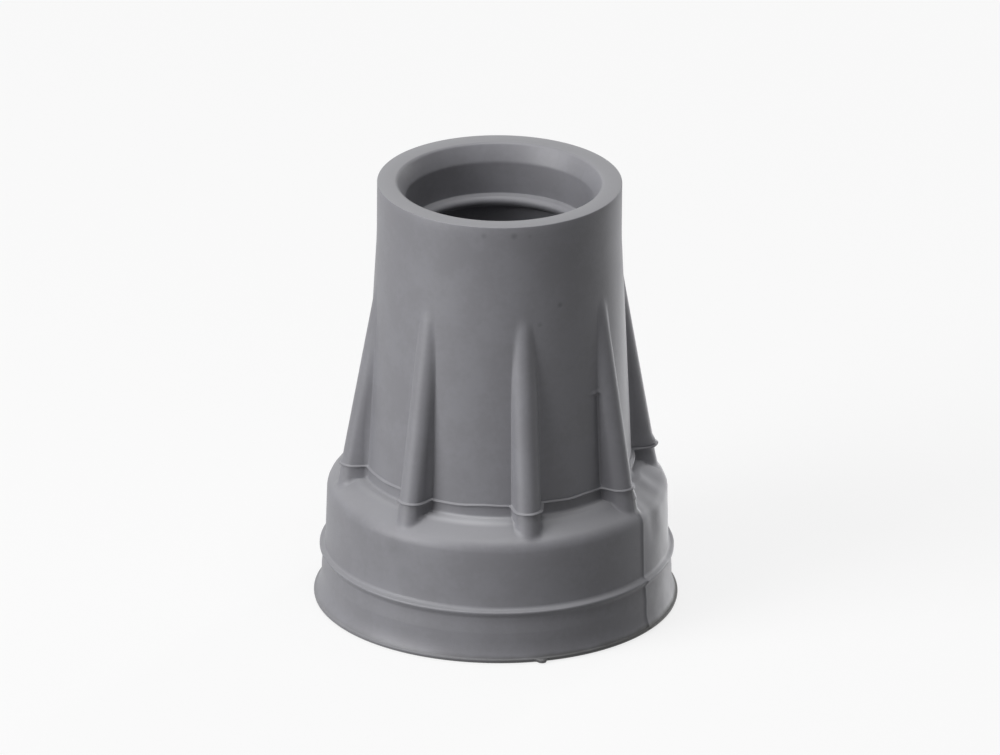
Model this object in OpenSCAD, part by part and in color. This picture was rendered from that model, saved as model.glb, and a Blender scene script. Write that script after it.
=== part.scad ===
// Rubber tip (ferrule) for the foot of a walking cane: one solid rubber moulding.
//
// The cane's tube is pushed into the socket from above and sits on the socket's
// floor. Eight tapering ribs brace the neck, a wide foot spreads the load, and
// the tread under it is cut with rings. The frame is in millimetres, +Z up, with
// its origin on the floor at the centre of the foot.

/* [Socket] */
// Diameter of the cane tube that the seat grips
tube_d = 19; // [18.4:0.1:19]
// Depth of the socket below the rim
socket_depth = 38; // [34:0.5:42]
// Length of the plain seat at the bottom of the socket
seat_length = 14; // [10:0.5:14]
// Diameter of the socket's wall above the seat
socket_d = 21.4; // [21:0.1:22]
// Diameter of the socket at the rim, where the tube is led in
lead_in_d = 23.4; // [22.8:0.1:24]
// Depth of the lead-in cone
lead_in_depth = 2; // [1:0.1:3]
// Number of grip rings inside the socket
grip_count = 3; // [1:1:3]
// Distance between neighbouring grip rings
grip_pitch = 6.5; // [6:0.1:7]
// Depth of the first grip ring's crest below the rim
grip_depth = 6.9; // [6:0.1:8]

/* [Neck] */
// Overall height of the tip
height = 51; // [50:0.5:54]
// Diameter of the mouth
mouth_d = 27.9; // [27.5:0.1:28.5]
// Diameter of the neck where the flash runs round it
neck_root_d = 30.7; // [30:0.1:31.4]
// Height of the straight band below the rim
mouth_band_h = 6.5; // [5:0.5:9]

/* [Ribs] */
// Number of ribs round the neck
rib_count = 8; // [4:1:12]
// Direction of the first rib, turned from the front (-Y) towards +X
rib_start_a = 11; // [0:0.5:45]
// Radius of a rib's round back, and half its thickness
rib_r = 1.5; // [1.2:0.1:1.8]
// Height of the ribs' pointed upper ends
rib_top_z = 40; // [38:0.1:41]
// Distance from the axis to a rib's crest at the flash
rib_root_r = 18.25; // [18:0.05:18.4]
// Distance from the axis to a rib's crest at its upper end
rib_tip_r = 14.2; // [14.1:0.05:14.4]

/* [Foot] */
// Diameter of the foot over the thin lip at the floor
foot_d = 42; // [41.5:0.1:43]
// Height of the lip's edge
lip_h = 0.5; // [0.45:0.05:0.7]
// Diameter of the skirt between the lip and the bead
skirt_d = 40.2; // [40:0.1:40.4]
// Diameter over the edge of the bead that runs round the foot
bead_d = 41; // [40.8:0.1:41.2]
// Height of the bead's edge above the floor
bead_z = 6.15; // [5.8:0.05:6.5]
// Diameter of the wall just above the bead
wall_base_d = 39.3; // [39.1:0.1:39.5]
// Diameter of the wall under its round shoulder
wall_top_d = 39; // [38.8:0.1:39]
// Height of the corner between the foot's wall and its shoulder
foot_h = 14.1; // [13.8:0.1:14.3]
// Height of the level ledge that the shoulder has round the neck
ledge_z = 15.85; // [15.6:0.05:16]
// Diameter at which the ledge turns down into the sloping shoulder
ledge_d = 32.3; // [32.2:0.1:32.6]

/* [Tread] */
// Number of ring grooves in the tread
groove_count = 4; // [1:1:4]
// Width of a ring groove at the floor
groove_w = 1.8; // [1:0.1:2]
// Depth of a ring groove
groove_depth = 2; // [1:0.1:3]

/* [Mould lines] */
// Height of the parting line between the mould's sleeve and its base
parting_z = 17.3; // [17:0.05:18]
// Width that the flash stands proud of the skin
flash_w = 0.35; // [0.1:0.05:0.5]
// Thickness of the flash
flash_t = 0.25; // [0.2:0.05:0.5]
// Direction of the base mould's seam, turned from the front towards +X
seam_a = 58; // [0:1:90]
// Height that the seam stands proud of the skin
seam_h = 0.15; // [0.05:0.05:0.3]

/* [Hidden] */

$fn = 96;
eps = 0.01;
rubber_grey = [0.46, 0.46, 0.48];

// Radii that the sections are drawn with.
mouth_r = mouth_d / 2;
neck_root_r = neck_root_d / 2;
foot_r = foot_d / 2;
skirt_r = skirt_d / 2;
bead_r = bead_d / 2;
wall_base_r = wall_base_d / 2;
wall_top_r = wall_top_d / 2;
seat_r = tube_d / 2;
socket_r = socket_d / 2;
lead_in_r = lead_in_d / 2;
ledge_r = ledge_d / 2;

// The neck's flank runs straight from the parting line to the mouth's band.
flank_slope = (neck_root_r - mouth_r) / (height - mouth_band_h - parting_z);
function flank_r(z) = neck_root_r - flank_slope * (z - parting_z);

// The crest line of a rib leans in towards the axis as it climbs. Below the
// shoulder the rib runs on inside the foot, so that no gap is left under it.
rib_sink = 3;
rib_slope = (rib_root_r - rib_tip_r) / (rib_top_z - parting_z);
rib_lean = atan(rib_slope);
rib_foot_z = foot_h - rib_sink;
function rib_crest_r(z) = rib_root_r - rib_slope * (z - parting_z);

// A grip ring is a half-round bead on the socket's wall whose crest clears the
// seat by grip_clearance, so that it never stops the tube on its way down.
grip_clearance = 0.1;
grip_r = socket_r - seat_r - grip_clearance;
floor_z = height - socket_depth;

// Points of an arc that rounds the corner b between its neighbours a and c.
arc_steps = 6;
function unit(v) = v / norm(v);
function rounded(a, b, c, r) =
    let (
        to_a = unit(a - b),
        to_c = unit(c - b),
        half = acos(to_a * to_c) / 2,
        centre = b + unit(to_a + to_c) * r / sin(half),
        start = b + to_a * r / tan(half) - centre,
        turn = (180 - 2 * half) * sign(cross(b - a, c - b))
    )
    [for (i = [0:arc_steps])
        let (t = turn * i / arc_steps)
        centre + [start.x * cos(t) - start.y * sin(t), start.x * sin(t) + start.y * cos(t)]];

// An outline from corners [x, y, radius]; a radius of 0 keeps the corner sharp.
function xy(p) = [p.x, p.y];
function outline(corners) =
    let (n = len(corners))
    [for (i = [0:n - 1])
        let (a = xy(corners[(i + n - 1) % n]), b = xy(corners[i]), c = xy(corners[(i + 1) % n]))
        each corners[i][2] > 0 ? rounded(a, b, c, corners[i][2]) : [b]];

// Half section of the moulding without its socket, ribs and tread. The lip is a
// thin step at the floor, the skirt above it draws in over flare_h and again
// below the bead, and the bead is an almost level ledge with an undercut.
lip_w = 0.25;
flare_h = 1.3;
undercut_w = 0.2;
undercut_h = 0.75;
draw_in_h = 2.6;
bead_land_w = 0.35;
bead_land_h = 0.3;
shoulder_round = 1.6;
ledge_round = 1.2;
body_corners = [
    [0, 0, 0],
    [foot_r, 0, 0.3],
    [foot_r, lip_h, 0.15],
    [foot_r - lip_w, lip_h + 0.1, 0.1],
    [skirt_r, lip_h + flare_h, 3],
    [skirt_r, bead_z - draw_in_h, 2],
    [skirt_r - undercut_w, bead_z - undercut_h, 0.5],
    [bead_r, bead_z, 0.15],
    [bead_r - bead_land_w, bead_z + bead_land_h, 0.2],
    [wall_base_r, bead_z + bead_land_h + 0.1, 0.2],
    [wall_top_r, foot_h, shoulder_round],
    [ledge_r, ledge_z, ledge_round],
    [flank_r(ledge_z), ledge_z, 0.35],
    [mouth_r, height - mouth_band_h, 40],
    [mouth_r, height, 0.25],
    [0, height, 0]
];

module body() {
    rotate_extrude() polygon(outline(body_corners));
}

// Turns its children from the front (-Y) towards +X by an angle.
module turned(a) {
    rotate([0, 0, a - 90]) children();
}

// Fin along the +X side with a round back that leans with the rib's crest line,
// `grow` larger. It reaches inward by web_depth, to where the neck covers it.
web_depth = 3;
module rib_bar(grow = 0) {
    axis_r = rib_crest_r(rib_foot_z) - rib_r / cos(rib_lean);
    bar_length = (rib_top_z - rib_foot_z) / cos(rib_lean) - rib_r;
    bar_r = rib_r + grow;
    translate([axis_r, 0, rib_foot_z]) rotate([0, -rib_lean, 0]) {
        cylinder(r = bar_r, h = bar_length);
        translate([0, 0, bar_length]) sphere(r = bar_r);
        translate([-web_depth, -bar_r, 0]) cube([web_depth, 2 * bar_r, bar_length]);
    }
}

module ribs() {
    for (i = [0:rib_count - 1]) turned(rib_start_a + i * 360 / rib_count) rib_bar();
}

// Thin fin at the parting line that follows the neck and every rib.
module flash() {
    intersection() {
        translate([0, 0, parting_z]) cylinder(r = foot_r, h = flash_t);
        union() {
            cylinder(r = neck_root_r + flash_w, h = height);
            for (i = [0:rib_count - 1])
                turned(rib_start_a + i * 360 / rib_count) rib_bar(flash_w);
        }
    }
}

// Seam of the base mould: a fin over the foot, on one side and again opposite.
// It starts inside the neck, and ends at the parting line where that mould ends.
module seam() {
    seam_w = 0.3;
    seam_start_r = neck_root_r - 2;
    for (a = [seam_a, seam_a + 180]) turned(a) rotate([90, 0, 0])
        linear_extrude(height = seam_w, center = true) intersection() {
            translate([seam_start_r, 0]) square([foot_r, parting_z]);
            translate([seam_h, 0]) polygon(outline(body_corners));
        }
}

// Space that the tube enters: lead-in, wall with grip rings, seat and floor. A
// short cone guides the tube from the wall into the seat.
seat_lead_h = 2;
module socket() {
    seat_top_z = floor_z + seat_length;
    rotate_extrude() difference() {
        polygon(outline([
            [0, floor_z, 0],
            [seat_r, floor_z, 0.6],
            [seat_r, seat_top_z, 0],
            [socket_r, seat_top_z + seat_lead_h, 0],
            [socket_r, height - lead_in_depth, 1.0],
            [lead_in_r, height, 0],
            [lead_in_r, height + 1, 0],
            [0, height + 1, 0]
        ]));
        for (i = [0:grip_count - 1])
            translate([socket_r, height - grip_depth - i * grip_pitch]) circle(r = grip_r);
    }
}

// Ring grooves under the foot, evenly spaced between its centre and its edge and
// narrower at the top, so that the mould's rings draw out of them.
groove_draft = 0.3;
module tread() {
    groove_pitch = foot_r / (groove_count + 1);
    groove_top_w = groove_w - 2 * groove_draft;
    for (i = [1:groove_count]) rotate_extrude()
        translate([i * groove_pitch, 0]) polygon([
            [-groove_w / 2, -eps],
            [groove_w / 2, -eps],
            [groove_top_w / 2, groove_depth],
            [-groove_top_w / 2, groove_depth]
        ]);
}

module cane_tip() {
    color(rubber_grey) difference() {
        union() {
            body();
            ribs();
            flash();
            seam();
        }
        socket();
        tread();
    }
}

cane_tip();
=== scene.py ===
# %% [markdown]
# # A rubber cane tip
#
# The tip, or ferrule, is what a walking cane stands on. It is one piece of grey
# rubber: a tapering neck with a socket for the cane's tube, eight ribs that brace
# it, and a wide foot with a ring-grooved tread. It is moulded in one shot, between
# a sleeve that shapes the neck and a two-part base mould that shapes the foot, and
# a thin line of flash shows where the moulds met.
#
# The lesson models it as a turner would, by spinning half of its section round the
# axis, and then presses the ribs and the mould lines out of the turned skin.
# Another way is to join eight bars to the neck with Boolean modifiers, but those
# leave hard creases and thin triangles where rubber has soft roots.

# %% Load the frame
import math

import bmesh
import bpy
import numpy as np
from mathutils import Matrix, Vector, noise


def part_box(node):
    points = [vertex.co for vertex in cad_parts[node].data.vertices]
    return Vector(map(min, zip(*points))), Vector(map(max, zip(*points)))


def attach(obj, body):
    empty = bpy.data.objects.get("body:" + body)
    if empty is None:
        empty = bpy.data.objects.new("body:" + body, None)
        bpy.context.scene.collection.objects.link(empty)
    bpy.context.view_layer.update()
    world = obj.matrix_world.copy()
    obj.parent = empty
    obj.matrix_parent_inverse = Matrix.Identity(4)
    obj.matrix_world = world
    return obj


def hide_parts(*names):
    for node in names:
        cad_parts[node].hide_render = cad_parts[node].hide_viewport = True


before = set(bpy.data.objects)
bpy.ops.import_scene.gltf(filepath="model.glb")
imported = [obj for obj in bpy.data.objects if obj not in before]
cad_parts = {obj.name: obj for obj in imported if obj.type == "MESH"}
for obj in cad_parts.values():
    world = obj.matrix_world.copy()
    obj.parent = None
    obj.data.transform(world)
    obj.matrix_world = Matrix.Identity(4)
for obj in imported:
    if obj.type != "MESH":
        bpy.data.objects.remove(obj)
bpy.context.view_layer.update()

lowest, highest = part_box("cane_tip")
mm = 0.001
foot_r = min(highest.x, highest.y, -lowest.x, -lowest.y)
height = highest.z
print(f"CAD model: {2 * foot_r / mm:.2f} mm across the foot, {height / mm:.2f} mm tall")

# %% [markdown]
# ## The half section
#
# Everything round about the tip comes from one outline, drawn on the right-hand
# side of the axis: up the inside of the socket, over the rim, down the neck and
# the foot, and back to the axis across the tread. A chain of straight edges is
# the easiest thing to draw and to change. Each corner then gets its radius from
# the Bevel operator, as a draughtsman would round it with a compass. A Bezier
# curve could do the same, but its handles are harder to set to known sizes.

# %% Sizes of the socket, as radii and heights
lead_in_r, lead_in_depth = 11.7 * mm, 2.0 * mm
socket_r, seat_r = 10.7 * mm, 9.5 * mm
socket_floor = height - 38 * mm
seat_top = socket_floor + 14 * mm
print(f"a tube of {2 * seat_r / mm:.0f} mm goes in by {(height - socket_floor) / mm:.0f} mm")

# %% Sizes of the neck
mouth_r, mouth_band = 13.95 * mm, 6.5 * mm
parting_z, neck_root_r = 17.4 * mm, 15.35 * mm
flank_slope = (neck_root_r - mouth_r) / (height - mouth_band - parting_z)


def flank_r(z):
    """Radius of the neck between its ribs."""
    return neck_root_r - flank_slope * (z - parting_z)


print(f"the neck leans in {math.degrees(math.atan(flank_slope)):.1f} degrees")

# %% Sizes of the foot
ledge_r, ledge_z = 16.4 * mm, 15.85 * mm
shoulder_z = 14.1 * mm
wall_top_r, wall_base_r = 19.5 * mm, 19.7 * mm
bead_r, bead_z = 20.5 * mm, 6.2 * mm
skirt_r, flare_h = 20.1 * mm, 1.3 * mm
lip_h, lip_w = 0.5 * mm, 0.25 * mm
groove_count, groove_w, groove_depth, groove_draft = 4, 1.8 * mm, 2.0 * mm, 0.3 * mm
print(f"the foot's wall is {(shoulder_z - bead_z) / mm:.1f} mm high above its bead")

# %% [markdown]
# The inside of the socket carries three half-round grip rings that hold the tube,
# so its part of the outline is worked out by a loop. Turning a torus for each ring
# would be quicker, but would leave its hidden half inside the rubber.

# %% Corners of the inside: radius, height and how much to round
grip_r = socket_r - seat_r - 0.1 * mm
grip_half_h, grip_pitch, first_grip = 0.75 * mm, 6.5 * mm, 6.6 * mm
ring_steps = 8

socket_corners = [
    (0, socket_floor, 0),
    (seat_r, socket_floor, 0.6 * mm),
    (seat_r, seat_top, 0.3 * mm),
    (socket_r, seat_top + 2 * mm, 0.6 * mm),
]
for ring in (2, 1, 0):
    ring_z = height - first_grip - ring * grip_pitch
    for k in range(ring_steps + 1):
        turn = math.pi * (k / ring_steps - 0.5)
        root = 0.12 * mm if k in (0, ring_steps) else 0
        crest = socket_r - grip_r * math.cos(turn)
        socket_corners.append((crest, ring_z + grip_half_h * math.sin(turn), root))
socket_corners += [
    (socket_r, height - lead_in_depth, 0.8 * mm),
    (lead_in_r, height, 0.45 * mm),
]
print(len(socket_corners), "corners inside the socket")

# %% [markdown]
# Down the outside, a narrow ledge carries the neck's root, and the sloping shoulder
# runs from it to the foot's wall. The bead is a low step round the foot, and the
# lip is the thin edge that the tread spreads to on the floor.

# %% Corners of the outside
outside_corners = [
    (mouth_r, height, 0.1 * mm),
    (mouth_r, height - mouth_band, 40 * mm),
    (flank_r(ledge_z), ledge_z + 0.06 * mm, 0.4 * mm),
    (ledge_r, ledge_z, 1.0 * mm),
    (wall_top_r, shoulder_z, 1.6 * mm),
    (wall_base_r, bead_z + 0.25 * mm, 0.45 * mm),
    (bead_r, bead_z + 0.05 * mm, 0.22 * mm),
    (skirt_r - 0.2 * mm, bead_z - 0.75 * mm, 0.5 * mm),
    (skirt_r, bead_z - 2.6 * mm, 2 * mm),
    (skirt_r, lip_h + flare_h, 3 * mm),
    (foot_r - lip_w, lip_h + 0.08 * mm, 0.1 * mm),
    (foot_r, lip_h, 0.15 * mm),
    (foot_r, 0, 0.3 * mm),
]
print(len(outside_corners), "corners down the outside")

# %% Corners of the tread
tread_corners = []
for k in range(groove_count, 0, -1):
    middle = k * foot_r / (groove_count + 1)
    for side, depth, rounding in ((1, 0, 0.15), (1, 1, 0.25), (-1, 1, 0.25), (-1, 0, 0.15)):
        half_w = groove_w / 2 - depth * groove_draft
        tread_corners.append((middle + side * half_w, depth * groove_depth, rounding * mm))
tread_corners.append((0, 0, 0))
section = socket_corners + outside_corners + tread_corners
print(len(section), "corners in the whole section")

# %% [markdown]
# ## Drawing the outline
#
# A plane merged to its centre leaves a single vertex, and extruding that vertex
# again and again draws the chain, just as Ctrl and a click do in the window. The
# Mesh menu's own tools keep the steps the same as those by hand.

# %% Draw the chain
def deselect_all():
    """Nothing selected, in object mode, so that an operator acts only on what comes next."""
    if bpy.context.object and bpy.context.object.mode != "OBJECT":
        bpy.ops.object.mode_set(mode="OBJECT")
    bpy.ops.object.select_all(action="DESELECT")


def draw_chain(name, corners):
    """One chain of edges through the corners, in the plane of X and Z."""
    deselect_all()
    bpy.ops.mesh.primitive_plane_add(size=mm)
    chain = bpy.context.object
    chain.name = name
    points = [Vector((radius, 0, z)) for radius, z, _ in corners]
    bpy.ops.object.mode_set(mode="EDIT")
    bpy.ops.mesh.merge(type="CENTER")
    bpy.ops.transform.translate(value=points[0])
    for here, there in zip(points, points[1:]):
        bpy.ops.mesh.extrude_vertices_move(TRANSFORM_OT_translate={"value": there - here})
    return chain


moulding = draw_chain("rubber_moulding", section)
print(len(bmesh.from_edit_mesh(moulding.data).verts), "vertices drawn")

# %% [markdown]
# ## Rounding its corners
#
# No edge of a rubber moulding is sharp. A round of a given radius starts before
# the corner by the radius times the tangent of half the turn, and that distance is
# the Bevel operator's offset.

# %% Round the corners
small_radius, coarse_turn, fine_turn = 0.3 * mm, 30, 15


def clear_selection(obj):
    """The mesh in edit mode, with nothing in it selected."""
    mesh = bmesh.from_edit_mesh(obj.data)
    for part in (*mesh.verts, *mesh.edges):
        part.select = False
    return mesh


def round_corner(obj, point, radius):
    """Rounds the corner of the chain at a point, in finer steps where it is large."""
    mesh = clear_selection(obj)
    corner = min(mesh.verts, key=lambda v: (v.co - point).length_squared)
    corner.select = True
    bmesh.update_edit_mesh(obj.data)
    one_way, other_way = (e.other_vert(corner).co - corner.co for e in corner.link_edges)
    turn = math.pi - one_way.angle(other_way)
    turn_each = fine_turn if radius > small_radius else coarse_turn
    steps = max(2, math.ceil(math.degrees(turn) / turn_each))
    bpy.ops.mesh.bevel(offset=radius * math.tan(turn / 2), segments=steps, affect="VERTICES")


for corner_r, z, radius in section:
    if radius:
        round_corner(moulding, Vector((corner_r, 0, z)), radius)
print(len(bmesh.from_edit_mesh(moulding.data).verts), "vertices after rounding")

# %% [markdown]
# ## Rows for the ribs
#
# The skin can only be shaped where it has vertices, and the neck is one long
# straight edge so far. Bisect cuts close rows at the parting line, where the flash
# is a fifth of a millimetre thick, and Subdivide fills the rest. Bisect's usual
# threshold would skip rows as close as these, so it is set far smaller.

# %% Close rows at the flash and at a stray nib
flash_half_t = 0.09 * mm
beyond_flash = (-0.01, 0.01, 0.06, 0.2, 0.4)
flash_rows = [side * (flash_half_t + out * mm) for side in (-1, 1) for out in beyond_flash]
nib_rows = (28.4, 28.6, 28.8, 28.95, 29.1, 29.25, 29.45, 29.7)


def cut_chain_at(obj, z):
    """Bisects the outside of the chain with a level plane."""
    mesh = clear_selection(obj)
    for edge in mesh.edges:
        if all(v.co.x > lead_in_r for v in edge.verts):
            edge.select_set(True)
    bmesh.update_edit_mesh(obj.data)
    bpy.ops.mesh.bisect(plane_co=(0, 0, z), plane_no=(0, 0, 1), threshold=1e-6)


for z in [parting_z + row for row in flash_rows] + [row * mm for row in nib_rows]:
    cut_chain_at(moulding, z)
print(len(flash_rows) + len(nib_rows), "close rows")

# %% Subdivide the long edges
def middle_of(edge):
    """The point halfway along an edge."""
    return (edge.verts[0].co + edge.verts[1].co) / 2


def subdivide_long(obj, step, low_z, high_z, inner_r):
    """Subdivides the edges of a stretch of the chain into pieces no longer than step."""
    found = [
        (middle_of(e), e.calc_length())
        for e in bmesh.from_edit_mesh(obj.data).edges
        if all(low_z <= v.co.z <= high_z and v.co.x > inner_r for v in e.verts)
    ]
    for middle, length in found:
        cuts = math.ceil(length / step) - 1
        if cuts < 1:
            continue
        mesh = clear_selection(obj)
        edge = min(mesh.edges, key=lambda e: (middle_of(e) - middle).length_squared)
        edge.select_set(True)
        bmesh.update_edit_mesh(obj.data)
        bpy.ops.mesh.subdivide(number_cuts=cuts)


# The ribbed stretch first, then the rest of the outside, then everything.
ribbed_low, ribbed_high = shoulder_z - 1.5 * mm, height - mouth_band + 2 * mm
subdivide_long(moulding, 0.7 * mm, ribbed_low, ribbed_high, lead_in_r)
subdivide_long(moulding, 1.2 * mm, 0, height, 0.6 * skirt_r)
subdivide_long(moulding, 5 * mm, -mm, height + mm, -mm)
print(len(bmesh.from_edit_mesh(moulding.data).verts), "rows in all")

# %% [markdown]
# ## Turning it
#
# Spin is the lathe. It copies the chain round the Z axis and bridges the copies.
# The last copy lands on the first, and the vertices on the axis pile up, so the
# doubles are merged and the normals recalculated before anything else is done.

# %% Spin the section
segments, merge_distance = 360, 0.002 * mm
bpy.ops.mesh.select_all(action="SELECT")
bpy.ops.mesh.spin(steps=segments, angle=2 * math.pi, center=(0, 0, 0), axis=(0, 0, 1))
bpy.ops.mesh.select_all(action="SELECT")
bpy.ops.mesh.remove_doubles(threshold=merge_distance)
bpy.ops.mesh.normals_make_consistent(inside=False)
bpy.ops.object.mode_set(mode="OBJECT")
triangles = sum(len(face.vertices) - 2 for face in moulding.data.polygons)
print(triangles, "triangles,", len(moulding.data.vertices), "vertices")

# %% [markdown]
# ## Ribs as distances
#
# Each rib is the outer side of a round bar that leans in as it climbs and sinks
# into the neck near the top, under a round end. A point of the turned skin can be
# carried out to it when the distance to the bar is known, and that distance is
# simple to write down. Where the bar meets the neck, the two distances are blended
# over a short stretch, and this is the soft root that moulded rubber has.

# %% Sizes of the ribs
rib_count, rib_start = 8, math.radians(11)
sector = 2 * math.pi / rib_count
rib_r, rib_top_z = 1.5 * mm, 40 * mm
rib_root_r, rib_tip_r = 18.25 * mm, 14.2 * mm
rib_lean = math.atan((rib_root_r - rib_tip_r) / (rib_top_z - parting_z))
root_fillet = 0.15 * mm

# The ribs of a hand-finished mould aren't quite even: degrees aside, and millimetres out.
rib_aside = np.radians([1.0, 0.2, 0, 0, 0, 0, -0.8, -1.0])
rib_out = np.array([0, 0, 0, 0, 0, 0, -0.13, 0]) * mm
print(f"the ribs lean {math.degrees(rib_lean):.1f} degrees")


# %% Distance to a rib, and the blend of two distances
def bar_distance(r, off_angle, z):
    """Distance from points to the skin of the rib's bar, seen from the bar's own plane."""
    axis_r = rib_root_r - rib_r / math.cos(rib_lean)
    along_r, across, up = r * np.cos(off_angle) - axis_r, r * np.sin(off_angle), z - parting_z
    lean_r, lean_z = -math.sin(rib_lean), math.cos(rib_lean)
    climb = along_r * lean_r + up * lean_z
    beyond = np.maximum(climb - ((rib_top_z - parting_z) / lean_z - rib_r), 0)
    outward = np.maximum(along_r * lean_z - up * lean_r, 0)
    return np.sqrt(outward**2 + across**2 + beyond**2) - rib_r


def blend(a, b, fillet):
    """The nearer of two distances, with the crease between them filled."""
    overlap = np.maximum(fillet - np.abs(a - b), 0) / fillet
    return np.minimum(a, b) - overlap**2 * fillet / 4


# %% [markdown]
# The spun columns of vertices are evenly spaced, but the skin turns sharply only
# at the ribs' flanks and at the seams. Moving columns there from the open stretches
# makes those places crisp for no more faces.

# %% Crowd the columns at the ribs' flanks and the seams
seam_a = math.radians(58)
flank_a = math.asin(rib_r / neck_root_r) * 0.97

# How closely the columns stand: anywhere, near a rib, at its flanks and at a seam.
# Each place has the reach of its crowd, in degrees.
plain_crowd = 0.45
rib_crowd, rib_reach = 0.9, 5
flank_crowd, flank_reach = 4.5, 0.7
seam_crowd, seam_reach = 5, 0.6


def bell(offset, reach):
    """A smooth hump: 1 in its middle, a third at its reach, and 0 far away."""
    return np.exp(-((offset / reach) ** 2))


def crowd(angles):
    """Moves evenly spaced directions closer together where the skin turns most."""
    fine = np.linspace(-math.pi, math.pi, 14401)
    off = (fine - rib_start + sector / 2) % sector - sector / 2
    density = plain_crowd + rib_crowd * bell(off, math.radians(rib_reach))
    for flank in (-flank_a, flank_a):
        density += flank_crowd * bell(off - flank, math.radians(flank_reach))
    for direction in (seam_a, seam_a - math.pi):
        density += seam_crowd * bell(fine - direction, math.radians(seam_reach))
    share = np.concatenate(([0], np.cumsum((density[1:] + density[:-1]) / 2)))
    return np.interp(angles, fine[0] + 2 * math.pi * share / share[-1], fine)


def mesh_array(data, kind):
    """The places or the normals of a mesh's vertices, as rows of three numbers."""
    values = np.empty(len(data.vertices) * 3)
    data.vertices.foreach_get(kind, values)
    return values.reshape(-1, 3)


spots, normals = mesh_array(moulding.data, "co"), mesh_array(moulding.data, "normal")
r, z = np.hypot(spots[:, 0], spots[:, 1]), spots[:, 2]
angle = crowd(np.arctan2(spots[:, 0], -spots[:, 1]))
print(f"columns stand up to {math.degrees(np.diff(np.sort(angle)).max()):.2f} degrees apart")

# %% [markdown]
# ## Mould lines and marks
#
# Flash is the thin fin that rubber leaves where it creeps between the sleeve and
# the base mould. Along the base mould's seam one half stood a little further out
# than the other, which leaves a step, and a fin runs from it over the shoulder up
# to the flash. Next to that seam the skin came out crumpled. All of this is the
# same skin grown outwards by a fraction of a millimetre, so each mark only adds to
# one array of growth. Modelling fins as separate pieces would leave gaps.

# %% What part of the skin is shaped, and how far it is from the nearest rib
# On the level ledge the steepness is kept up, so that growth there stays gentle.
skin_low, skin_high, least_steepness = 0.3 * mm, height - 2 * mm, 0.45
outer = (r > lead_in_r + mm) & (z > skin_low) & (z < skin_high)
skin_r, skin_z, skin_a = r[outer], z[outer], angle[outer]
rib_no = np.floor((skin_a - rib_start) / sector + 0.5).astype(int) % rib_count
off_rib = skin_a - rib_start - rib_aside[rib_no]
off_rib -= np.round(off_rib / sector) * sector
steepness = np.maximum(np.hypot(normals[outer, 0], normals[outer, 1]), least_steepness)
print(outer.sum(), "vertices in the skin of the neck and the foot")


# %% Flash at the parting line, uneven in width
def bumps(points):
    """Smooth random heights between about -0.5 and 0.5 at the given points."""
    return np.array([noise.noise(Vector(point)) for point in points])


def round_about(angles, ripple, offset):
    """Random heights that change with the direction alone."""
    flat = np.full(len(angles), offset)
    return bumps(np.stack([np.sin(angles) * ripple, np.cos(angles) * ripple, flat], 1))


flash_h, flash_unevenness = 0.33 * mm, 0.7
at_parting = np.abs(skin_z - parting_z) < flash_half_t
flash = flash_h * (1 + flash_unevenness * round_about(skin_a, ripple=3, offset=4.2)) * at_parting
print(f"the flash stands {flash[at_parting].min() / mm:.2f} to {flash.max() / mm:.2f} mm proud")


# %% Seam of the base mould: a step on the wall, a fin over the shoulder
def ridge(offset, half_w):
    """A round ridge: 1 on its middle line, and 0 beyond half_w to either side."""
    return np.sqrt(np.maximum(1 - (offset / half_w) ** 2, 0))


def ramp(value, low, high):
    """0 below low, 1 above high, and a straight rise between them."""
    return np.clip((value - low) / (high - low), 0, 1)


seam_h, seam_w, seam_fade, seam_top = 0.15 * mm, 0.3 * mm, 1.2 * mm, parting_z - 0.5 * mm
off_seam = skin_r * np.sin(skin_a - seam_a)
near_side = np.cos(skin_a - seam_a) > 0
step = seam_h * np.exp(-np.maximum(off_seam, 0) / seam_fade) * ramp(off_seam, -seam_w, 0)
step *= skin_z < seam_top

fin_h, fin_half_w, fin_aside = 0.4 * mm, 0.4 * mm, 0.05 * mm
fin_low, fin_fade = shoulder_z + 0.3 * mm, 1.5 * mm
on_shoulder = near_side * (skin_z > fin_low) * ramp(parting_z - skin_z, 0, fin_fade)
seam = np.maximum(step, fin_h * ridge(off_seam - fin_aside, fin_half_w) * on_shoulder)
growth = np.maximum(flash, seam) * steepness
print(f"the seam's fin stands {seam.max() / mm:.2f} mm proud")

# %% Crumpled skin beside the seam, and a crack in a rib's root
crumple_h, crumple_size, crumple_r, crumple_z = 0.5 * mm, 2.6 * mm, 18 * mm, 14.5 * mm
crumple_start, crumple_reach, crumple_half_h = 2 * mm, 9 * mm, 3 * mm
skin_x, skin_y = crumple_r * np.sin(skin_a), -crumple_r * np.cos(skin_a)
crumple = bumps(np.stack([skin_x, skin_y, skin_z], 1) / crumple_size)
past_seam = near_side * ramp(off_seam, 0, crumple_start) * bell(off_seam, crumple_reach)
growth += crumple_h * crumple * past_seam * bell(skin_z - crumple_z, crumple_half_h)

crack_a, crack_half_w, crack_depth = math.radians(49.9), 0.22 * mm, 0.15 * mm
crack = bell(skin_r * np.sin(skin_a - crack_a), crack_half_w) * near_side
crack *= ramp(skin_z, 17.6 * mm, 17.9 * mm) * (1 - ramp(skin_z, 28.5 * mm, 29 * mm))
growth -= crack_depth * crack
print(f"the crack is {crack_depth * crack.max() / mm:.2f} mm deep")

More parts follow.
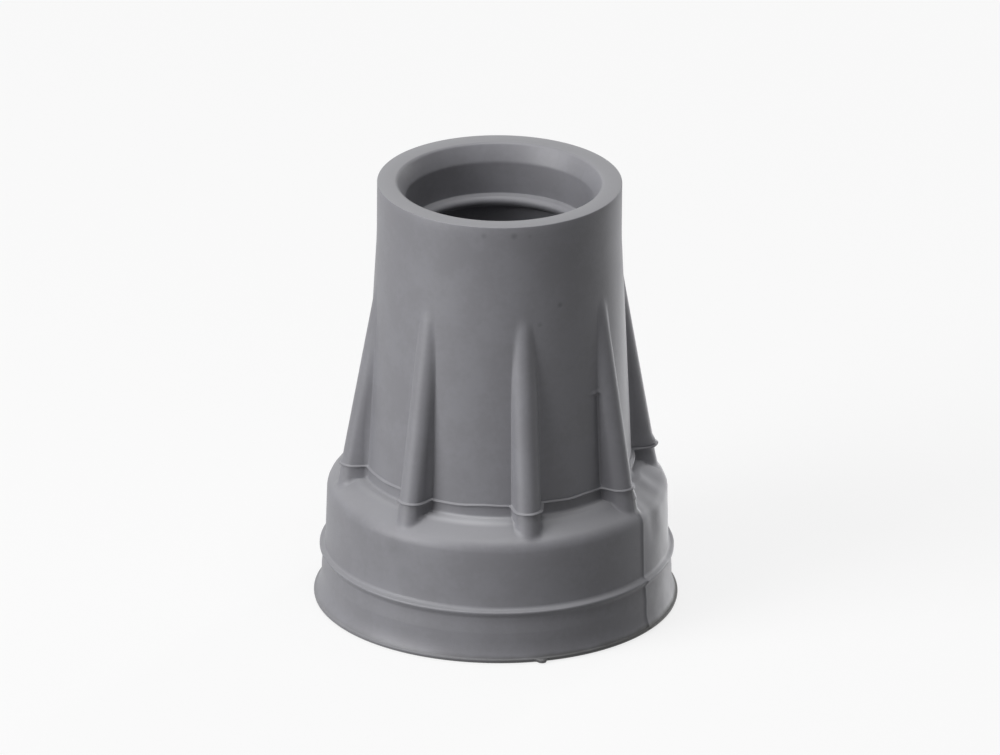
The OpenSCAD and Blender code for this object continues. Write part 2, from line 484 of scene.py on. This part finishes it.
# %% Stray nibs
# Each nib: direction in degrees, then height, half width, half height and reach in millimetres.
nibs = [
    (99, 17.7, 0.9, 0.45, 0.32),
    (-80, 17.5, 0.5, 0.3, 0.12),
    (48.3, 29.05, 0.4, 0.13, 0.28),
]
for direction, nib_z, half_w, half_h, reach in nibs:
    turn = skin_a - math.radians(direction)
    aside, above = skin_r * np.sin(turn), skin_z - nib_z * mm
    hump = bell(aside, half_w * mm) * bell(above, half_h * mm)
    growth += reach * mm * hump * (np.cos(turn) > 0)
print(len(nibs), "nibs")

# %% [markdown]
# ## Walking the skin out
#
# For every vertex of the skin, the code looks along the line from the axis through
# it and finds where that line leaves the body and the bar together. A point is
# outside while its distance is more than the growth, so it starts well outside and
# walks in by that distance until it arrives. Sculpting by hand could reach the same
# shape, but not eight times alike.

# %% Walk to the ribs
well_outside, walk_steps = 4 * mm, 80
rib_low, far_away = shoulder_z - 2 * mm, 1.0
walk = skin_r + well_outside
for _ in range(walk_steps):
    body = (walk - skin_r) * steepness
    bar = bar_distance(walk - rib_out[rib_no], off_rib, skin_z)
    bar = np.where(skin_z > rib_low, bar, far_away)
    walk -= blend(body, bar, root_fillet) - growth
r[outer] = walk
print(f"the skin reaches {walk.max() / mm:.2f} mm from the axis")

# %% [markdown]
# The bottom of the skirt isn't quite round: it is drawn in at the front and the
# back, and rests on its sides. A drip of rubber hangs from the lip, and the line of
# flash rises and falls a little on its way round.

# %% Draw the skirt in, hang the drip and ripple the parting line
drawn_in, drawn_in_h, right_share, skirt_inside = 0.5 * mm, 2.6 * mm, 0.44, 19 * mm
side = np.sin(angle)
share = 1 - side**2 + right_share * np.clip(side, 0, 1) ** 2
low = (1 - ramp(z, 0, drawn_in_h)) ** 1.5
r -= np.where(r > skirt_inside, low * drawn_in * share, 0)

drip_a, drip_half_w, drip_reach = math.radians(14.8), 0.5 * mm, 0.6 * mm
on_lip = (r > 20 * mm) & (z < 0.45 * mm) & (np.cos(angle) > 0)
drip = np.exp(-((foot_r * np.sin(angle - drip_a) / drip_half_w) ** 4))
r += np.where(on_lip, drip_reach * drip, 0)

ripple_h, ripple_half_h = 0.16 * mm, 0.9 * mm
near_parting = outer * bell(z - parting_z, ripple_half_h)
spots[:, 2] += ripple_h * round_about(angle, ripple=5, offset=9.1) * near_parting
spots[:, 0], spots[:, 1] = r * np.sin(angle), -r * np.cos(angle)
moulding.data.vertices.foreach_set("co", spots.ravel())
moulding.data.update()
farthest, top = np.abs(spots[:, :2]).max(), spots[:, 2].max()
print(f"reaches {farthest / mm:.2f} mm to a side, {top / mm:.2f} mm up")

# %% Shade it smooth
deselect_all()
moulding.select_set(True)
bpy.context.view_layer.objects.active = moulding
bpy.ops.object.shade_smooth()
print("shaded smooth")

# %% [markdown]
# ## The camera
#
# A long lens from almost two metres away keeps the tip's sides nearly parallel, as
# in a catalogue picture. It looks down by 23 degrees, so that both the socket and
# the foot's wall are seen. The last small turns level the tip in the frame.

# %% Camera
camera_distance = 1.8
camera_elevation = math.radians(23.055)
aim = Vector((0, 0, 25 * mm))
back = Vector((0, -math.cos(camera_elevation), math.sin(camera_elevation)))
camera_data = bpy.data.cameras.new("camera")
camera_data.sensor_width, camera_data.lens = 36, 566.5
camera_data.clip_start, camera_data.clip_end = 0.1, 50
camera = bpy.data.objects.new("camera", camera_data)
bpy.context.scene.collection.objects.link(camera)
bpy.context.scene.camera = camera
upright = back.to_track_quat("Z", "Y").to_matrix().to_4x4()
roll = Matrix.Rotation(math.radians(0.449), 4, "Z")
tip_up = Matrix.Rotation(math.radians(0.0507), 4, "X")
turn_right = Matrix.Rotation(math.radians(-0.0071), 4, "Y")
standpoint = Matrix.Translation(aim + back * camera_distance)
camera.matrix_world = standpoint @ upright @ roll @ tip_up @ turn_right
print(f"camera {camera_distance} m away, {camera_data.lens} mm lens")

# %% [markdown]
# ## Finishes
#
# Shader maths is easier to read as expressions than as a web of nodes. A Wire
# stands for what comes out of a socket, and adding or multiplying two wires adds
# the Math node that does it. Everything else goes through one method, so that a
# finish reads as a list of what it is made of.

# %% Shader maths as expressions
class Wire:
    """What comes out of one socket of a finish."""

    def __init__(self, finish, socket):
        self.finish, self.socket = finish, socket

    def arithmetic(self, operation, first, second):
        """Adds a Math node that works on two wires, or on a wire and a number."""
        return self.finish.node("ShaderNodeMath", {"operation": operation}, {0: first, 1: second})

    def __add__(self, other):
        return self.arithmetic("ADD", self, other)

    __radd__ = __add__

    def __sub__(self, other):
        return self.arithmetic("SUBTRACT", self, other)

    def __rsub__(self, other):
        return self.arithmetic("SUBTRACT", other, self)

    def __mul__(self, other):
        return self.arithmetic("MULTIPLY", self, other)

    __rmul__ = __mul__

    def clamped(self, low, high):
        """0 below low, 1 above high, and smooth between them."""
        limits = {"Value": self, "From Min": low, "From Max": high, "To Min": 0, "To Max": 1}
        return self.finish.node("ShaderNodeMapRange", {"interpolation_type": "SMOOTHSTEP"}, limits)


# %% One method for every node
class Finish:
    """The nodes of a material or of the world, added one by one."""

    def __init__(self, owner):
        self.owner = owner
        owner.use_nodes = True
        self.tree = owner.node_tree
        self.tree.nodes.clear()

    def node(self, kind, settings=None, sockets=None, out=0):
        """Adds a node: its settings first, then the values or links of its sockets."""
        made = self.tree.nodes.new(kind)
        for name, value in (settings or {}).items():
            setattr(made, name, value)
        for name, value in (sockets or {}).items():
            if isinstance(value, Wire):
                self.tree.links.new(value.socket, made.inputs[name])
            else:
                made.inputs[name].default_value = value
        return Wire(self, made.outputs[out]) if len(made.outputs) else made

    def mix(self, share, first, second):
        """A blend of two colours, by a share from 0 to 1."""
        settings = {"data_type": "RGBA", "clamp_factor": True}
        return self.node("ShaderNodeMix", settings, {0: share, 6: first, 7: second}, 2)

    def noise_at(self, place, per_metre, detail, roughness=0.5):
        """Cloudy values between about 0.3 and 0.7."""
        sockets = {"Vector": place, "Scale": per_metre, "Detail": detail, "Roughness": roughness}
        return self.node("ShaderNodeTexNoise", {}, sockets, "Fac")


# %% [markdown]
# ### Grey rubber
#
# The rubber is a dull, slightly blue grey, mottled where its filler has mixed
# unevenly. Each later layer is a mask from 0 to 1 that mixes one more colour over
# the ones before it. The masks are worked out from the place on the tip and from
# the way the skin faces, so nothing has to be unwrapped or painted.

# %% The rubber's own colour
rubber = Finish(bpy.data.materials.new("grey_rubber"))
place = rubber.node("ShaderNodeTexCoord", out="Object")
facing = rubber.node("ShaderNodeNewGeometry", out="Normal")
place_x, place_y, place_z = (
    rubber.node("ShaderNodeSeparateXYZ", {}, {0: place}, axis) for axis in "XYZ"
)
up = rubber.node("ShaderNodeSeparateXYZ", {}, {0: facing}, "Z")

mottle = rubber.noise_at(place, 220, 4)
speckle = rubber.noise_at(place, 1500, 3)
dark_grey, light_grey = (0.188, 0.187, 0.203, 1), (0.205, 0.205, 0.223, 1)
patchy = (mottle * 1.3 + speckle * 0.5 - 0.4).clamped(0.3, 0.7)
colour = rubber.mix(patchy, dark_grey, light_grey)
print("base colour from", dark_grey[:3], "to", light_grey[:3])

# %% [markdown]
# What faces up is painted lighter, most of all the rim, as light from above falls
# on it. A pool of painted light lies in the corner where the neck meets its ledge,
# between two of the ribs, and a painted highlight lightens the thin fin on the
# shoulder. Patchy painted light clouds the side past the seam, where the skin was
# crumpled too.

# %% Painted light on top, ledge, fin and side
def cloud_at(direction, radius, z, reach, strength):
    """A round soft cloud on the skin, placed in degrees and millimetres."""
    a = math.radians(direction)
    centre = Vector((radius * math.sin(a), -radius * math.cos(a), z)) * mm
    measure = {"operation": "DISTANCE"}
    away = rubber.node("ShaderNodeVectorMath", measure, {0: place, 1: centre}, "Value")
    return (1 - away.clamped(0, reach * mm)) * strength


top_light_grey, ledge_light_grey = (0.30, 0.30, 0.315, 1), (0.44, 0.44, 0.46, 1)
fin_highlight_grey, side_light_grey = (0.60, 0.60, 0.62, 1), (0.58, 0.58, 0.60, 1)

# Painted light: what faces up is lighter, level faces such as the rim most of all, as light from
# above falls on them.
painted_top_light = up.clamped(0.35, 1.0) * 0.5 + up.clamped(0.94, 1.0) * 0.3
colour = rubber.mix(painted_top_light, colour, top_light_grey)

# Painted light: a pale pool in the corner where the neck meets its ledge, between two of the ribs.
ledge_level = place_z.clamped(15.4 * mm, 15.8 * mm) * (1 - place_z.clamped(16.0 * mm, 16.3 * mm))
painted_ledge_light = ledge_level * up.clamped(0.3, 0.9) * (cloud_at(-11, 16.0, 15.9, 8.0, 0.7) + 0.15)
colour = rubber.mix(painted_ledge_light, colour, ledge_light_grey)

# Painted highlight: the thin fin on the shoulder is lightened where it would catch the light.
fin_core, fin_edge = 0.1 * mm, 0.55 * mm
fin_level = place_z.clamped(14.1 * mm, 14.7 * mm) * (1 - place_z.clamped(17.2 * mm, 17.6 * mm))
off_fin = place_x * math.cos(seam_a) + place_y * math.sin(seam_a)
fin = (1 - (off_fin * off_fin).clamped(fin_core**2, fin_edge**2)) * fin_level
colour = rubber.mix(fin * 0.8, colour, fin_highlight_grey)

# Painted light: patchy pale clouds on the lit side past the seam.
painted_light_clouds = [(77, 20.1, 2.5, 8.5, 1.0), (75, 19.6, 8.5, 6.0, 0.3), (67, 18.4, 15.2, 4.5, 0.35)]
painted_light = sum(cloud_at(*each) for each in painted_light_clouds) * (mottle * 2 - 0.2)
colour = rubber.mix(painted_light, colour, side_light_grey)
print(len(painted_light_clouds), "clouds of bloom")

# %% [markdown]
# The dark marks are small: smudges on the foot's wall, a row of tiny bubbles under
# the rim and two specks on the neck. Painted shade darkens the lip near the floor,
# more so on the right side.

# %% Smudges, bubbles and painted shade on the lip
# Each mark: direction in degrees, radius, height and reach in millimetres, and strength.
dark_marks = [
    (-35.5, 19.5, 12.4, 2.4, 0.22),
    (-32.5, 19.6, 9.6, 1.6, 0.16),
    (-53, 19.5, 13.3, 2.5, 0.15),
    (-7.1, 13.95, 49.95, 0.5, 0.4),
    (6.9, 13.95, 49.95, 0.6, 0.7),
    (14.4, 13.95, 49.8, 0.4, 0.25),
    (29.4, 14.1, 40.95, 0.5, 0.7),
    (19.2, 14.2, 38.95, 0.45, 0.5),
]
dark_mark, lip_shade_grey = (0.10, 0.10, 0.11, 1), (0.045, 0.045, 0.042, 1)
marks = sum(cloud_at(*each) for each in dark_marks)
colour = rubber.mix(marks, colour, dark_mark)

# Painted shade: the lip darkens near the floor, with a cloudy upper edge, and more towards the
# right.
painted_lip_shade = 1 - (place_z + mottle * (0.8 * mm)).clamped(0.9 * mm, 1.5 * mm)
more_on_right = place_x.clamped(-16 * mm, 20 * mm) * 0.75 + 0.2
colour = rubber.mix(painted_lip_shade * more_on_right, colour, lip_shade_grey)
print(len(dark_marks), "dark marks")

# %% [markdown]
# The mould has left the rubber a fine grain that takes the shine off it. A bump a
# few hundredths of a millimetre deep is enough: it breaks the highlights up and
# can't be seen as relief.

# %% Grain, gloss and the finished material
grain = rubber.noise_at(place, 5200, 2, 0.6)
bump_sockets = {"Strength": 0.25, "Distance": 0.04 * mm, "Height": grain}
bump = rubber.node("ShaderNodeBump", {}, bump_sockets, "Normal")
surface_sockets = {"Base Color": colour, "Roughness": mottle * 0.1 + 0.43, "Normal": bump}
surface = rubber.node("ShaderNodeBsdfPrincipled", {}, surface_sockets)
rubber.node("ShaderNodeOutputMaterial", {}, {"Surface": surface})
moulding.data.materials.append(rubber.owner)
print("finish:", rubber.owner.name, "with", len(rubber.tree.nodes), "nodes")

# %% [markdown]
# ## The floor
#
# The floor has to look white to the camera and in reflections, and still hold the
# soft shadow that the tip throws. There it is mostly its own plain white and partly
# a matt white that takes light and shadow. To everything else it is a darker grey,
# so that it doesn't light the tip from below, and its underside is clear, so that
# the tread can be looked at from below.

# %% Floor
deselect_all()
floor_gap = 0.02 * mm
bpy.ops.mesh.primitive_plane_add(size=8, location=(0, 0, -floor_gap))
floor = bpy.context.object
floor.name = "floor"


def ray_shows(finish):
    """1 for rays that show a thing as it looks: to the camera, in gloss or through glass."""
    camera_ray = finish.node("ShaderNodeLightPath", out="Is Camera Ray")
    glossy_ray = finish.node("ShaderNodeLightPath", out="Is Glossy Ray")
    transmitted_ray = finish.node("ShaderNodeLightPath", out="Is Transmission Ray")
    return camera_ray + glossy_ray + transmitted_ray


pale = Finish(bpy.data.materials.new("pale_floor"))
from_below = pale.node("ShaderNodeNewGeometry", out="Backfacing")
matt_white = pale.node("ShaderNodeBsdfDiffuse", {}, {"Color": (0.85, 0.85, 0.85, 1)})
own_white = pale.node("ShaderNodeEmission", {}, {"Color": (1, 1, 1, 1), "Strength": 1})
dim = pale.node("ShaderNodeBsdfDiffuse", {}, {"Color": (0.18, 0.18, 0.18, 1)})
clear = pale.node("ShaderNodeBsdfTransparent")
own_share = 0.78
white = pale.node("ShaderNodeMixShader", {}, {0: own_share, 1: matt_white, 2: own_white})
from_above = pale.node("ShaderNodeMixShader", {}, {0: ray_shows(pale), 1: dim, 2: white})
both = pale.node("ShaderNodeMixShader", {}, {0: from_below, 1: from_above, 2: clear})
pale.node("ShaderNodeOutputMaterial", {}, {"Surface": both})
floor.data.materials.append(pale.owner)
print("floor", floor_gap / mm, "mm under the tread")

# %% [markdown]
# ## Light
#
# Two wide soft lamps stand at the left of the camera, one low and one high, and a
# third hangs overhead. A faint one at the right keeps the shadow side from going
# black. Two small ones draw the bright edge there that separates the rubber from
# the white: a lamp behind, level with the floor, and a disc of light lying on the
# floor as a sheet of white paper would. The world is white to the camera and to
# reflections, which gives the rubber its pale rims, and nearly dark otherwise.
# A lamp's power is worked out from its strength, which is the share of full white
# that it gives a white card facing it.

# %% World
world = Finish(bpy.data.worlds.new("studio"))
bpy.context.scene.world = world.owner
sky_light = 0.05
shown = ray_shows(world) * (1 - sky_light) + sky_light
backdrop = world.node("ShaderNodeBackground", {}, {"Color": (1, 1, 1, 1), "Strength": shown})
world.node("ShaderNodeOutputWorld", {}, {"Surface": backdrop})
print("sky light", sky_light)


# %% Lamps
def add_lamp(name, width, power, place, towards):
    """A disc that lights the tip and isn't seen by the camera itself."""
    light = bpy.data.lights.new(name, "AREA")
    light.shape, light.size, light.energy = "DISK", width, power
    lamp = bpy.data.objects.new(name, light)
    bpy.context.scene.collection.objects.link(lamp)
    lamp.location = place
    lamp.rotation_euler = (place - towards).to_track_quat("Z", "Y").to_euler()
    lamp.visible_camera = False
    return lamp


def way_to(direction, climb):
    """Unit vector towards a direction from the front and a climb, both in degrees."""
    a, e = math.radians(direction), math.radians(climb)
    return Vector((math.sin(a) * math.cos(e), -math.cos(a) * math.cos(e), math.sin(e)))


# Each lamp: direction, climb, distance, width, strength and the point that it lights.
origin = Vector((0, 0, 0))
soft_lamps = {
    "key": (-60, 13, 1, 0.7, 0.795, aim),
    "high_key": (-60, 40, 1, 0.7, 0.34, aim),
    "overhead": (0, 85, 1, 0.8, 0.56, aim),
    "side": (130, 5, 1, 0.5, 0.15, aim),
    "edge": (147, 2, 0.6, 0.06, 1.0, origin),
}
for name, (direction, climb, distance, width, strength, target) in soft_lamps.items():
    power = math.pi**2 * strength * distance**2
    lamp = add_lamp(name, width, power, target + way_to(direction, climb) * distance, target)
    lamp.visible_glossy = name != "edge"

card_width, card_power, card_away = 80 * mm, 0.023, 64 * mm
card_spot = way_to(143, 0) * card_away + Vector((0, 0, mm))
add_lamp("floor_card", card_width, card_power, card_spot, card_spot + Vector((0, 0, 1)))
bpy.context.scene.view_settings.view_transform = "Standard"
print(len(soft_lamps) + 1, "lamps")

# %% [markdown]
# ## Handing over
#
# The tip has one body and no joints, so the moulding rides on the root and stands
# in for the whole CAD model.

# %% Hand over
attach(moulding, "root")
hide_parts("cane_tip")
